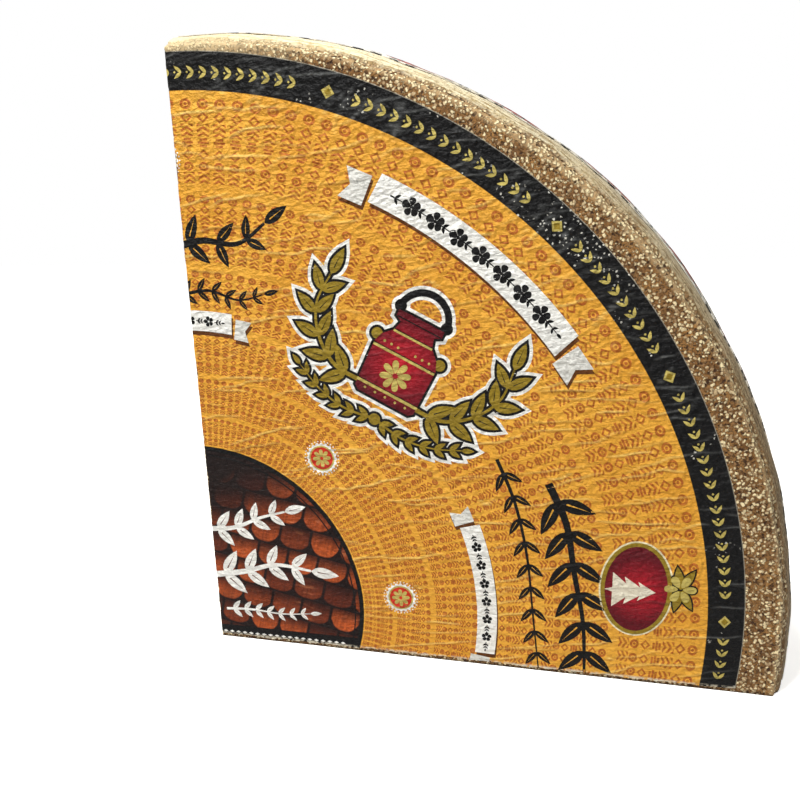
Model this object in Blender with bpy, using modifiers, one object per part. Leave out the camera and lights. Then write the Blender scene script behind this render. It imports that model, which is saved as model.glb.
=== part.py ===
"""A quarter of a comte cheese wheel, standing on one of its two cuts.

The wheel's axis lies along Y, with the printed face towards -Y and the plain face towards +Y.
One cut is upright, at -X, and the other is the base. Sizes are in metres, and the object's
origin is in the middle of its base.
"""

import math

import bpy
from mathutils import Vector

# The whole wheel, before it was cut
EDGE_RADIUS = 0.3084
THICKNESS = 0.108
BULGE = 0.0084
BULGE_POWER = 5
EDGE_ROUNDING = 0.0012
GROOVE_BEHIND_EDGE = 0.0026
GROOVE_DEPTH = 0.0009
FLAT_OF_FACE = 0.288
TURN_STEPS = 288
HEEL_STEPS = 22
ROUNDING_STEPS = 3

# How far the two cuts pass beyond the wheel's axis
UPRIGHT_CUT_BEYOND_AXIS = 0.0066
BASE_CUT_BELOW_AXIS = 0.0224

# The heel's unevenness: waves round the wheel, waves across the heel, phase and height
HEEL_WAVES = (
    (5, 0.0, 3.3, 0.00080),
    (9, 0.6, 0.4, 0.00030),
    (13, 1.1, 2.1, 0.00025),
    (31, 1.7, 4.0, 0.00018),
    (58, 2.6, 1.2, 0.00012),
)

# The printed paper on the face
LABEL_RADIUS = 0.300
LABEL_THICKNESS = 0.0008
LABEL_LEFT_OF_AXIS = 0.0099
LABEL_ABOVE_AXIS = 0.0050
LABEL_SIDES = 288

# The printed paper band round the heel, whose edges lie on the heel's own steps
BAND_FIRST_STEP = 3
BAND_THICKNESS = 0.0005

# Room between the papers and the cheese, and under the papers
PAPER_GAP = 0.0003
PAPER_ABOVE_BASE = 0.0015

# Larger than the wheel, for the blocks that cut the quarter out
BLOCK_REACH = 0.5

RIND_COLOUR = (0.36, 0.24, 0.13, 1.0)
LABEL_COLOUR = (0.78, 0.42, 0.07, 1.0)
BAND_COLOUR = (0.80, 0.78, 0.72, 1.0)


def clear_scene():
    for thing in list(bpy.data.objects):
        bpy.data.objects.remove(thing)


def new_collection(name):
    collection = bpy.data.collections.new(name)
    bpy.context.scene.collection.children.link(collection)
    return collection


def paint(thing, name, colour, roughness):
    material = bpy.data.materials.new(name)
    material.use_nodes = True
    shader = material.node_tree.nodes["Principled BSDF"]
    shader.inputs["Base Color"].default_value = colour
    shader.inputs["Roughness"].default_value = roughness
    shader.inputs["Metallic"].default_value = 0.0
    thing.data.materials.clear()
    thing.data.materials.append(material)


def heel_radius(depth):
    """Distance from the axis to the smooth heel, at a depth behind the printed face."""
    across = 2 * depth / THICKNESS - 1
    return EDGE_RADIUS + BULGE * (1 - abs(across) ** BULGE_POWER)


def heel_stations():
    """(radius, depth) of each step across the heel, from edge to edge."""
    depths = [THICKNESS * step / HEEL_STEPS for step in range(HEEL_STEPS + 1)]
    return [(heel_radius(depth), depth) for depth in depths]


def rounded_edge():
    """(radius, depth) of the front edge's rounding and of the shallow groove behind it."""
    points = []
    for step in range(ROUNDING_STEPS + 1):
        angle = math.radians(90) * step / ROUNDING_STEPS
        radius = EDGE_RADIUS - EDGE_ROUNDING * (1 - math.sin(angle))
        points.append((radius, EDGE_ROUNDING * (1 - math.cos(angle))))
    groove_radius = heel_radius(GROOVE_BEHIND_EDGE) - GROOVE_DEPTH
    points.append((groove_radius, GROOVE_BEHIND_EDGE))
    return points


def wheel_outline():
    """(radius, depth) from the middle of the printed face, over the heel, to the middle of the back."""
    front = [(0.0, 0.0), (FLAT_OF_FACE, 0.0)] + rounded_edge()
    back = [(radius, THICKNESS - depth) for radius, depth in reversed(front)]
    return front + heel_stations()[1:-1] + back


def unevenness(angle, depth):
    """How far the hand-turned heel stands out of true, at an angle round the wheel and a depth."""
    return sum(
        height * math.sin(round_waves * angle + phase + math.tau * across_waves * depth / THICKNESS)
        for round_waves, across_waves, phase, height in HEEL_WAVES
    )


def turn(name, outline, collection):
    """Turns an open outline of (radius, depth) about the wheel's axis, local Z, and makes it a mesh."""
    profile = bpy.data.meshes.new(name)
    edges = [(i, i + 1) for i in range(len(outline) - 1)]
    profile.from_pydata([(radius, 0.0, -depth) for radius, depth in outline], edges, [])
    thing = bpy.data.objects.new(name, profile)
    collection.objects.link(thing)
    screw = thing.modifiers.new("Turned", "SCREW")
    screw.axis = "Z"
    screw.angle = math.tau
    screw.steps = TURN_STEPS
    screw.render_steps = TURN_STEPS
    screw.use_merge_vertices = True
    screw.merge_threshold = 0.00001
    screw.use_smooth_shade = False
    bpy.context.view_layer.update()
    evaluated = thing.evaluated_get(bpy.context.evaluated_depsgraph_get())
    thing.data = bpy.data.meshes.new_from_object(evaluated)
    thing.modifiers.clear()
    bpy.data.meshes.remove(profile)
    return thing


def roughen_heel(thing):
    """Moves the edge and the heel in or out by the unevenness, so that no two places are alike."""
    for vertex in thing.data.vertices:
        across = Vector((vertex.co.x, vertex.co.y))
        if across.length < FLAT_OF_FACE + EDGE_ROUNDING:
            continue
        step = unevenness(math.atan2(across.y, across.x), -vertex.co.z)
        across = across * (1 + step / across.length)
        vertex.co.x, vertex.co.y = across


def stand_up(thing, whole, left, up, forward=0.0):
    """Lays local Z along -Y, so that the wheel stands, and puts the piece on the wheel's axis."""
    thing.parent = whole
    thing.rotation_euler = (math.radians(90), 0.0, 0.0)
    thing.location = (UPRIGHT_CUT_BEYOND_AXIS - left, -forward, BASE_CUT_BELOW_AXIS + up)


def quarter_block(name, lowest, whole, collection):
    """The block that keeps the quarter: right of the upright cut, and above a height."""
    bpy.ops.mesh.primitive_cube_add(size=BLOCK_REACH)
    block = bpy.context.object
    block.name = name
    for other in list(block.users_collection):
        other.objects.unlink(block)
    collection.objects.link(block)
    block.parent = whole
    block.location = (BLOCK_REACH / 2, 0.0, lowest + BLOCK_REACH / 2)
    block.hide_render = True
    block.display_type = "WIRE"
    return block


def keep_inside(thing, block):
    cut = thing.modifiers.new("Quarter", "BOOLEAN")
    cut.operation = "INTERSECT"
    cut.solver = "EXACT"
    cut.object = block


def make_cheese(whole, collection, block):
    """The cheese itself: flat faces, a rounded edge with its groove, and a full heel."""
    cheese = turn("cheese", wheel_outline(), collection)
    roughen_heel(cheese)
    stand_up(cheese, whole, 0.0, 0.0)
    keep_inside(cheese, block)
    paint(cheese, "brown rind", RIND_COLOUR, 0.8)


def make_face_label(whole, collection, block):
    """The round printed paper, which lies a little off the wheel's axis."""
    bpy.ops.mesh.primitive_cylinder_add(vertices=LABEL_SIDES, radius=LABEL_RADIUS, depth=LABEL_THICKNESS)
    label = bpy.context.object
    label.name = "face_label"
    for other in list(label.users_collection):
        other.objects.unlink(label)
    collection.objects.link(label)
    middle = PAPER_GAP + LABEL_THICKNESS / 2
    stand_up(label, whole, LABEL_LEFT_OF_AXIS, LABEL_ABOVE_AXIS, middle)
    keep_inside(label, block)
    paint(label, "printed paper", LABEL_COLOUR, 0.5)


def make_heel_band(whole, collection, block):
    """The printed paper band, which follows the heel a hair above it."""
    stations = heel_stations()[BAND_FIRST_STEP : HEEL_STEPS + 1 - BAND_FIRST_STEP]
    band = turn("heel_band", [(radius + PAPER_GAP, depth) for radius, depth in stations], collection)
    roughen_heel(band)
    stand_up(band, whole, 0.0, 0.0)
    paper = band.modifiers.new("Paper", "SOLIDIFY")
    paper.thickness = BAND_THICKNESS
    paper.offset = 1.0
    keep_inside(band, block)
    paint(band, "printed band", BAND_COLOUR, 0.5)


def centre_over_base(whole, collection):
    """Moves the whole so that its origin is in the middle of its footprint."""
    bpy.context.view_layer.update()
    graph = bpy.context.evaluated_depsgraph_get()
    corners = []
    for thing in collection.objects:
        if thing.type == "MESH":
            evaluated = thing.evaluated_get(graph)
            corners += [evaluated.matrix_world @ Vector(corner) for corner in evaluated.bound_box]
    for axis in (0, 1):
        values = [corner[axis] for corner in corners]
        whole.location[axis] = -(min(values) + max(values)) / 2


def main():
    clear_scene()
    parts = new_collection("comte_cheese")
    cutters = new_collection("cutters")
    whole = bpy.data.objects.new("comte_cheese_origin", None)
    parts.objects.link(whole)
    cheese_block = quarter_block("cheese_quarter", 0.0, whole, cutters)
    paper_block = quarter_block("paper_quarter", PAPER_ABOVE_BASE, whole, cutters)
    make_cheese(whole, parts, cheese_block)
    make_face_label(whole, parts, paper_block)
    make_heel_band(whole, parts, paper_block)
    centre_over_base(whole, parts)


main()
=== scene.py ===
"""The looks of a quarter of a comte cheese wheel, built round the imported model.

The quarter stands on one of its cuts. Its printed face looks along -Y, the plain face along +Y,
and the other cut looks along -X. Sizes are in metres, unless a name ends in MM or DEG. What is
printed on the face is drawn in millimetres from the label's middle.
"""

import math

import bpy
import numpy as np
from mathutils import Matrix, Vector, geometry, kdtree


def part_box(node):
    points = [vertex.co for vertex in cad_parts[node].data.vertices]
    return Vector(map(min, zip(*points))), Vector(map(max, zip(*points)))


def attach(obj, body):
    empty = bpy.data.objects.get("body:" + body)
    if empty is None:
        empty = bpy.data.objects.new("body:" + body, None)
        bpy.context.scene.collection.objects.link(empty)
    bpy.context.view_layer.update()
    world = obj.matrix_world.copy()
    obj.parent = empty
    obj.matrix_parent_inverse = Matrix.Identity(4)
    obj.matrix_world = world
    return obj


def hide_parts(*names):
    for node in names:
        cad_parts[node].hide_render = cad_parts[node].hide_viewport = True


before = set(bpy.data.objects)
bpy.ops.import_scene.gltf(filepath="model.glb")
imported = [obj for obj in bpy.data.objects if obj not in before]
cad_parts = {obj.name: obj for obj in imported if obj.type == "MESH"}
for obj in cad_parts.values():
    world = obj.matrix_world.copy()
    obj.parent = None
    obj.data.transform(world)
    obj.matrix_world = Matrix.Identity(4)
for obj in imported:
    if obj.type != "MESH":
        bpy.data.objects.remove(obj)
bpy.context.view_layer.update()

CHEESE_LOW, CHEESE_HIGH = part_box("cheese")
LABEL_LOW, LABEL_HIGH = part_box("face_label")
FACE_Y = CHEESE_LOW.y
BACK_Y = CHEESE_HIGH.y
LEFT_X = CHEESE_LOW.x
ON_PLANE = 0.00001

# The wheel before it was cut, as in the part's own source
AXIS_X = LEFT_X + 0.0066
AXIS_Z = 0.0224
EDGE_RADIUS = 0.3084
THICKNESS = 0.108
BULGE = 0.0084
BULGE_POWER = 5
HEEL_WAVES = (
    (5, 0.0, 3.3, 0.00080),
    (9, 0.6, 0.4, 0.00030),
    (13, 1.1, 2.1, 0.00025),
    (31, 1.7, 4.0, 0.00018),
    (58, 2.6, 1.2, 0.00012),
)
BAND_DEPTH = 3 * THICKNESS / 22
BAND_GAP = 0.0003
BAND_THICKNESS = 0.0005
PAPER_ABOVE_BASE = 0.0015

# The rind, a shell round the paste
RIND = 0.003
ARRIS = 0.0012
GROOVE_AT = 0.0031
GROOVE_WIDTH = 0.0009
GROOVE_DEPTH = 0.0010
BACK_SINKS = 0.00035
PASTE_GAP = 0.00004
ROUGH_TO = BAND_DEPTH + 0.004
FINE_FROM_DEG = -7.0
FINE_SWEEP_DEG = 104.0
BLOCK_REACH = 0.36

# The printed paper on the face
LABEL_X = AXIS_X - 0.0099
LABEL_Z = AXIS_Z + 0.0050
LABEL_RADIUS = 0.300
LABEL_BACK = FACE_Y - 0.00005
PAPER_BASE = 0.00020
INK_STEP = 0.00004
CUTTER_HALF = 0.006


def add(primitive, **sizes):
    """Adds a primitive with nothing else selected."""
    bpy.ops.object.select_all(action="DESELECT")
    primitive(**sizes)
    return bpy.context.object


def active_alone(thing):
    bpy.ops.object.select_all(action="DESELECT")
    thing.select_set(True)
    bpy.context.view_layer.objects.active = thing


def open_mesh(thing):
    active_alone(thing)
    bpy.ops.object.mode_set(mode="EDIT")
    bpy.ops.mesh.select_all(action="SELECT")


def close_mesh():
    bpy.ops.object.mode_set(mode="OBJECT")


def face_outwards():
    bpy.ops.mesh.select_all(action="SELECT")
    bpy.ops.mesh.normals_make_consistent(inside=False)
    close_mesh()


def columns_of(thing, name):
    """A measure of every point of a mesh, its place or its normal, as x, y and z columns."""
    values = np.empty(len(thing.data.vertices) * 3)
    thing.data.vertices.foreach_get(name, values)
    return values.reshape(-1, 3)


def points_of(thing):
    return columns_of(thing, "co")


def set_points(thing, points):
    thing.data.vertices.foreach_set("co", points.ravel())
    thing.data.update()


def set_attribute(thing, name, values):
    attribute = thing.data.attributes.new(name, "FLOAT", "POINT")
    attribute.data.foreach_set("value", values.astype(np.float32))


def apply_boolean(thing, operation, other):
    active_alone(thing)
    cut = thing.modifiers.new("Cut", "BOOLEAN")
    cut.operation = operation
    cut.solver = "MANIFOLD"
    cut.object = other
    bpy.ops.object.modifier_apply(modifier=cut.name)
    bpy.data.objects.remove(other)


def smooth(thing, angle_deg):
    active_alone(thing)
    bpy.ops.object.shade_smooth_by_angle(angle=math.radians(angle_deg))


def dress(thing, *finishes):
    thing.data.materials.clear()
    for finish in finishes:
        thing.data.materials.append(finish)


def finish_piece(thing, replaced=None, body="root"):
    """Puts a piece on its body, and hides the solid that it stands for, if one is given."""
    if replaced:
        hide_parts(replaced)
    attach(thing, body)


def value_noise(u, v, seed):
    """Smooth noise from 0 to 1 over a lattice of unit squares."""
    size = 256
    table = np.random.default_rng(seed).random((size, size))
    iu, iv = np.floor(u).astype(int), np.floor(v).astype(int)
    fu, fv = u - iu, v - iv
    fu, fv = fu * fu * (3 - 2 * fu), fv * fv * (3 - 2 * fv)

    def at(a, b):
        return table[a % size, b % size]

    low = at(iu, iv) * (1 - fu) + at(iu + 1, iv) * fu
    high = at(iu, iv + 1) * (1 - fu) + at(iu + 1, iv + 1) * fu
    return low * (1 - fv) + high * fv


# The form of the wheel

def heel_radius(depth):
    across = 2 * depth / THICKNESS - 1
    return EDGE_RADIUS + BULGE * (1 - np.abs(across) ** BULGE_POWER)


def unevenness(angle, depth):
    """How far the hand-turned heel stands out of true."""
    total = 0.0
    for round_waves, across_waves, phase, height in HEEL_WAVES:
        wave = round_waves * angle + phase + math.tau * across_waves * depth / THICKNESS
        total = total + height * np.sin(wave)
    return total


def edge_dip(depth):
    """How far the shallow groove behind the edge lies under the smooth heel."""
    bead_end = heel_radius(ARRIS) - EDGE_RADIUS
    return (GROOVE_DEPTH * np.exp(-(((depth - GROOVE_AT) / GROOVE_WIDTH) ** 2))
            + bead_end * np.exp(-(((depth - ARRIS) / ARRIS) ** 2)))


def rind_section(inner_start, face_step, heel_step):
    """(radius, depth) round a rind shell's section: face, arris, heel to the middle, and back inside.

    The face has fine points from the inner start on.
    """
    fine_depth = BAND_DEPTH + 0.002
    flat = EDGE_RADIUS - ARRIS - inner_start
    count = round(flat / face_step)
    section = [(0.0, 0.0), (inner_start * 0.5, 0.0), (inner_start, 0.0)]
    section += [(inner_start + flat * (i + 1) / count, 0.0) for i in range(count)]
    turns = max(3, round(ARRIS * math.pi / 2 / face_step) + 1)
    for i in range(1, turns + 1):
        angle = math.pi / 2 * i / turns
        section.append((EDGE_RADIUS - ARRIS * (1 - math.sin(angle)), ARRIS * (1 - math.cos(angle))))
    count = round((fine_depth - ARRIS) / heel_step)
    for i in range(1, count + 1):
        depth = ARRIS + (fine_depth - ARRIS) * i / count
        section.append((float(heel_radius(depth) - edge_dip(depth)), depth))
    for share in (0.25, 0.5, 0.75, 1.0):
        depth = fine_depth + (THICKNESS / 2 - fine_depth) * share
        section.append((float(heel_radius(depth)), depth))
    for depth in (THICKNESS / 2, THICKNESS / 4, THICKNESS / 10, 2 * RIND):
        section.append((float(heel_radius(depth)) - RIND, depth))
    return section + [(float(heel_radius(RIND)) - 1.7 * RIND, RIND), (0.15, RIND), (0.0, RIND)]


def turned(section, from_deg, sweep_deg, steps):
    """A ring of points is shaped to the section and turned about the wheel's axis, from one angle on."""
    circle = bpy.ops.mesh.primitive_circle_add
    thing = add(circle, vertices=len(section), radius=0.1, fill_type="NOTHING")
    for vertex, (radius, depth) in zip(thing.data.vertices, section):
        vertex.co = (radius, 0.0, -depth)
    screw = thing.modifiers.new("Turned", "SCREW")
    screw.axis = "Z"
    screw.angle = math.radians(sweep_deg)
    screw.steps = steps
    screw.render_steps = steps
    screw.use_smooth_shade = False
    bpy.ops.object.modifier_apply(modifier=screw.name)
    lay = Matrix.Rotation(math.radians(90), 4, "X") @ Matrix.Rotation(math.radians(from_deg), 4, "Z")
    thing.data.transform(Matrix.Translation((AXIS_X, FACE_Y, AXIS_Z)) @ lay)
    return thing


def turn_section(name, section, fine_steps, coarse_steps=24):
    """A whole turned shell, with fine steps where the quarter is and coarse ones for the rest."""
    rest = turned(section, FINE_FROM_DEG + FINE_SWEEP_DEG, 360 - FINE_SWEEP_DEG, coarse_steps)
    thing = turned(section, FINE_FROM_DEG, FINE_SWEEP_DEG, fine_steps)
    rest.select_set(True)
    bpy.ops.object.join()
    thing.name = name
    open_mesh(thing)
    bpy.ops.mesh.remove_doubles(threshold=0.000003)
    face_outwards()
    return thing


def quarter_block(low_y, high_y, divided=(), cuts=(17, 17), above_base=0.0):
    """The block that a quarter is cut out with. Its divided sides carry a fine grid."""
    block = add(bpy.ops.mesh.primitive_cube_add, size=1.0)
    corner = Matrix.Translation((LEFT_X, low_y, above_base))
    size = Matrix.Diagonal((BLOCK_REACH, high_y - low_y, BLOCK_REACH, 1.0))
    block.data.transform(corner @ size @ Matrix.Translation((0.5, 0.5, 0.5)))
    for normal in divided:
        for cut in cuts:
            open_mesh(block)
            bpy.ops.mesh.select_all(action="DESELECT")
            close_mesh()
            for face in block.data.polygons:
                face.select = face.normal.dot(Vector(normal)) > 0.9
            bpy.ops.object.mode_set(mode="EDIT")
            bpy.ops.mesh.subdivide(number_cuts=cut)
            close_mesh()
    return block


def around(points):
    """(angle, radius) of points about the wheel's axis."""
    across, up = points[:, 0] - AXIS_X, points[:, 2] - AXIS_Z
    return np.arctan2(up, across), np.hypot(across, up)


def warp_heel(thing):
    """Gives a turned piece the same slow unevenness as the solid."""
    points = points_of(thing)
    angle, radius = around(points)
    share = np.clip((radius - 0.288) / 0.012, 0.0, 1.0)
    step = unevenness(angle, points[:, 1] - FACE_Y) * share
    points[:, 0] += step * np.cos(angle)
    points[:, 2] += step * np.sin(angle)
    set_points(thing, points)


# The rind and its crumbs

def keep_to_cuts(before, after):
    """Points that lay on the two cuts stay on them."""
    after[before[:, 0] < LEFT_X + ON_PLANE, 0] = LEFT_X
    after[before[:, 2] < ON_PLANE, 2] = 0.0
    after[:, 0] = np.maximum(after[:, 0], LEFT_X)
    after[:, 2] = np.maximum(after[:, 2], 0.0)
    return after


class Crumbs:
    """Crumbs of dried smear that stand on the rind, each with its size, height and paleness."""

    def __init__(self, places, sizes, heights, seed):
        draw = np.random.default_rng(seed)
        self.sizes = draw.uniform(*sizes, len(places))
        self.heights = draw.uniform(*heights, len(places))
        self.pale = draw.uniform(0.35, 1.0, len(places))
        self.tree = kdtree.KDTree(len(places))
        for index, place in enumerate(places):
            self.tree.insert(place, index)
        self.tree.balance()

    def stand(self, points):
        """(height, paleness) of the crumbs at points."""
        height, pale = np.zeros(len(points)), np.zeros(len(points))
        for row, point in enumerate(points):
            for _place, index, distance in self.tree.find_n(point, 3):
                share = distance / self.sizes[index]
                if share < 1.0:
                    dome = (1.0 - share * share) ** 1.3
                    if dome * self.heights[index] > height[row]:
                        height[row] = dome * self.heights[index]
                        pale[row] = dome ** 0.6 * self.pale[index]
        return height, pale


def strewn(u_range, v_range, step, seed):
    """Loosely regular places in a rectangle, as (u, v) columns."""
    draw = np.random.default_rng(seed)
    u, v = np.meshgrid(np.arange(*u_range, step), np.arange(*v_range, step))
    u = u.ravel() + draw.uniform(-0.5, 0.5, u.size) * step
    v = v.ravel() + draw.uniform(-0.5, 0.5, v.size) * step
    return u, v


def on_edge_strip(arc, path, back):
    """Points at a distance along the rim, and along the section from inside the face over the arris."""
    angle = arc / EDGE_RADIUS
    flat = EDGE_RADIUS - ARRIS / 2
    depth = np.maximum(path - flat, 0.0)
    radius = np.where(path < flat, path, heel_radius(depth) - edge_dip(depth) * (depth > ARRIS))
    radius = radius + unevenness(angle, depth)
    y = BACK_Y - depth if back else FACE_Y + depth
    return np.column_stack((AXIS_X + radius * np.cos(angle), y, AXIS_Z + radius * np.sin(angle)))


def roughen_rind(thing, crumbs, back):
    """Raises the crumbs and the brush lines of the rind, and keeps their paleness for the colour."""
    before = points_of(thing)
    angle, radius = around(before)
    depth = (BACK_Y - before[:, 1]) if back else (before[:, 1] - FACE_Y)
    outside = (depth < ARRIS * 1.5) | (radius > heel_radius(depth) - 0.0025)
    outside = outside * (depth < ROUGH_TO) * 1.0
    if not back:
        from_label = np.hypot(before[:, 0] - LABEL_X, before[:, 2] - LABEL_Z)
        outside *= np.clip((from_label - LABEL_RADIUS) / 0.0008 + 0.25, 0.0, 1.0)
    rows = np.flatnonzero(outside > 0.01)
    height, pale = np.zeros(len(before)), np.zeros(len(before))
    height[rows], pale[rows] = crumbs.stand(before[rows])
    heel = np.clip((depth - 0.0030) / 0.0015, 0.0, 1.0)
    arc = angle * EDGE_RADIUS
    lines = value_noise(arc / 0.024, depth / 0.0013, 31) + 0.6 * value_noise(arc / 0.011, depth / 0.0007, 32)
    lines = lines / 1.6
    slow = value_noise(before[:, 0] / 0.007 + 9, before[:, 2] / 0.007 + before[:, 1] / 0.009, 5)
    lift = height * (1 - 0.65 * heel) + (lines - 0.5) * 0.00018 * heel + (slow - 0.5) * 0.0003
    after = before + columns_of(thing, "normal") * (lift * outside)[:, None]
    if not back:
        after[:, 1] = np.maximum(after[:, 1], FACE_Y - 0.0008)
    set_points(thing, keep_to_cuts(before, after))
    set_attribute(thing, "crumb", pale * outside * (1 - 0.55 * heel))


def mark_cut_faces(thing):
    """The cut ends of a rind shell take the paste's finish, its second slot."""
    for face in thing.data.polygons:
        on_left = face.center.x < LEFT_X + 2 * ON_PLANE and face.normal.x < -0.7
        on_base = face.center.z < 2 * ON_PLANE and face.normal.z < -0.7
        face.material_index = 1 if on_left or on_base else 0


def back_section():
    """The back rind's section, whose face lies outside the plane that the block trims it at."""
    flat = EDGE_RADIUS - ARRIS - 0.0003
    section = rind_section(0.302, 0.0012, 0.0010)
    lifted = [(radius, -0.0015 if depth == 0.0 and radius < flat else depth) for radius, depth in section]
    return [(radius, THICKNESS - depth) for radius, depth in lifted]


def sink_back(thing):
    """Lays the back face a little lower, so that its crumbs stay inside the solid."""
    points = points_of(thing)
    outer = np.clip((points[:, 1] - (BACK_Y - RIND)) / (RIND / 2), 0.0, 1.0)
    points[:, 1] = np.minimum(points[:, 1] - BACK_SINKS * outer, BACK_Y)
    set_points(thing, points)


def make_back_rind(finish, cut_finish):
    rind = turn_section("back_rind", back_section(), 470)
    warp_heel(rind)
    apply_boolean(rind, "INTERSECT", quarter_block(0.0, BACK_Y, [(0, 1, 0)]))
    on_edge = on_edge_strip(*strewn((-0.03, 0.51), (0.300, 0.3255), 0.0019, 6), True)
    across, up = strewn((LEFT_X, 0.16), (0.0, 0.335), 0.0021, 7)
    inside = np.hypot(across - AXIS_X, up - AXIS_Z) < 0.300
    on_flat = np.column_stack((across, np.full(across.size, BACK_Y), up))[inside]
    crumbs = Crumbs(np.vstack((on_edge, on_flat)), (0.0009, 0.0017), (0.00005, 0.00045), 8)
    roughen_rind(rind, crumbs, True)
    sink_back(rind)
    smooth(rind, 60)
    dress(rind, finish, cut_finish)
    mark_cut_faces(rind)
    finish_piece(rind)


def make_front_rind(finish, cut_finish):
    rind = turn_section("front_rind", rind_section(0.287, 0.00050, 0.00050), 930)
    warp_heel(rind)
    apply_boolean(rind, "INTERSECT", quarter_block(FACE_Y - 0.01, BACK_Y))
    on_edge = on_edge_strip(*strewn((-0.03, 0.51), (0.286, 0.3255), 0.00128, 3), False)
    roughen_rind(rind, Crumbs(on_edge, (0.00042, 0.00088), (0.00008, 0.00042), 4), False)
    smooth(rind, 70)
    dress(rind, finish, cut_finish)
    mark_cut_faces(rind)
    finish_piece(rind, "cheese")


# The paste, with its eyes and slits on each cut: place along and across, half length and half width

LEFT_EYES_MM = (
    (62, 31, 2.6, 2.6), (118, 70, 3.4, 3.4), (171, 44, 2.2, 2.2), (205, 82, 1.6, 1.6), (238, 58, 3.0, 3.0),
    (286, 36, 2.0, 2.0), (93, 52, 8.5, 0.7), (262, 74, 6.5, 0.6), (34, 78, 1.8, 1.8), (148, 24, 5.5, 0.6),
)
BASE_EYES_MM = (
    (48, 60, 2.8, 2.8), (96, 33, 2.0, 2.0), (141, 76, 3.2, 3.2), (187, 50, 7.5, 0.7), (226, 66, 2.4, 2.4),
    (268, 40, 1.9, 1.9),
)
EYE_DEPTH_MM = 2.6
PASTE_STEPS = 24


def paste_section():
    """(radius, depth) round the paste, which fills the rind shells."""
    inner = RIND + PASTE_GAP
    section = [(0.0, inner)]
    for i in range(PASTE_STEPS + 1):
        depth = inner + (THICKNESS - 2 * inner) * i / PASTE_STEPS
        under_heel = max(depth, 2 * RIND) if depth < THICKNESS / 2 else min(depth, THICKNESS - 2 * RIND)
        corner = 0.0022 if i in (0, PASTE_STEPS) else 0.0
        section.append((float(heel_radius(under_heel) - RIND - PASTE_GAP - corner), depth))
    return section + [(0.0, section[-1][1])]


def cut_relief(along, across, eyes, seed):
    """How deep a cut lies under its plane, in mm: lines of the knife, slow waves, eyes and slits."""
    relief = value_noise(across / 0.9, along / 70, seed) * 0.10
    relief += value_noise(across / 3.1, along / 45, seed + 1) * 0.12
    relief += value_noise(along / 26, across / 17, seed + 2) * 0.22
    for place, depth, half_long, half_wide in eyes:
        share = ((along - place) / half_long) ** 2 + ((across - depth) / half_wide) ** 2
        deepest = min(EYE_DEPTH_MM, 1.1 * max(half_wide, 1.2))
        relief = np.maximum(relief, deepest * np.sqrt(np.clip(1 - share, 0, 1)))
    return relief


def make_paste(finish):
    paste = turn_section("paste", paste_section(), 96)
    warp_heel(paste)
    for side in ((-1, 0, 0), (0, 0, -1)):
        apply_boolean(paste, "INTERSECT", quarter_block(FACE_Y - 0.01, BACK_Y + 0.01, [side], (12, 13)))
    points = points_of(paste)
    _angle, radius = around(points)
    depth = points[:, 1] - FACE_Y
    from_heel = heel_radius(np.clip(depth, RIND, THICKNESS - RIND)) - RIND - radius
    margin = np.minimum(np.minimum(depth, THICKNESS - depth) - RIND, from_heel)
    fade = np.clip(margin / 0.0012, 0, 1) / 1000
    left = np.flatnonzero((points[:, 0] < LEFT_X + ON_PLANE) & (points[:, 2] > 0.0004))
    base = np.flatnonzero((points[:, 2] < ON_PLANE) & (points[:, 0] > LEFT_X + 0.0004))
    along_left, along_base = points[left, 2] * 1000, (points[base, 0] - LEFT_X) * 1000
    points[left, 0] += cut_relief(along_left, depth[left] * 1000, LEFT_EYES_MM, 51) * fade[left]
    points[base, 2] += cut_relief(along_base, depth[base] * 1000, BASE_EYES_MM, 61) * fade[base]
    set_points(paste, points)
    smooth(paste, 50)
    dress(paste, finish)
    finish_piece(paste)


# The printed paper round the heel

BAND_ROWS = 78


def band_section():
    """(radius, depth) round the paper band's section."""
    width = THICKNESS - 2 * BAND_DEPTH
    depths = [BAND_DEPTH + width * i / BAND_ROWS for i in range(BAND_ROWS + 1)]
    outer = [(float(heel_radius(depth)) + BAND_GAP + BAND_THICKNESS, depth) for depth in depths]
    return outer + [(float(heel_radius(depth)) + BAND_GAP, depth) for depth in depths[::-6]]


def make_band(finish):
    """The paper band round the heel, with shallow wrinkles and slightly wavy edges."""
    band = turn_section("heel_paper", band_section(), 400)
    warp_heel(band)
    apply_boolean(band, "INTERSECT", quarter_block(FACE_Y, BACK_Y, (), (), PAPER_ABOVE_BASE))
    points = points_of(band)
    angle, radius = around(points)
    depth = points[:, 1] - FACE_Y
    arc = angle * EDGE_RADIUS
    outer = radius - unevenness(angle, depth) > heel_radius(depth) + BAND_GAP + BAND_THICKNESS / 2
    folds = value_noise(arc / 0.013, depth / 0.0032, 71) * 0.5
    folds += value_noise(arc / 0.0035, depth / 0.0021, 72) * 0.3
    folds += 0.35 * value_noise(arc / 0.05, depth / 0.02, 73)
    sink = np.minimum(np.where(outer, 0.00036 * folds, 0.0), BAND_THICKNESS * 0.7)
    points[:, 0] -= sink * np.cos(angle)
    points[:, 2] = np.maximum(points[:, 2] - sink * np.sin(angle), PAPER_ABOVE_BASE)
    edge = np.clip(1 - (np.minimum(depth, THICKNESS - depth) - BAND_DEPTH) / 0.006, 0, 1)
    wave = (value_noise(arc / 0.017, 0 * arc, 74) - 0.5) * 0.0011
    wave += (value_noise(arc / 0.004, 0 * arc, 75) - 0.5) * 0.0003
    points[:, 1] += wave * edge
    set_points(band, points)
    smooth(band, 60)
    dress(band, finish)
    finish_piece(band, "heel_band")


# Finishes, worked out by nodes

def sign(operation, other_first=False):
    """What a sign of arithmetic does: it makes a node of a value and another value or number."""
    def work(value, other):
        return value.finish.math(operation, *((other, value) if other_first else (value, other)))
    return work


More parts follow.
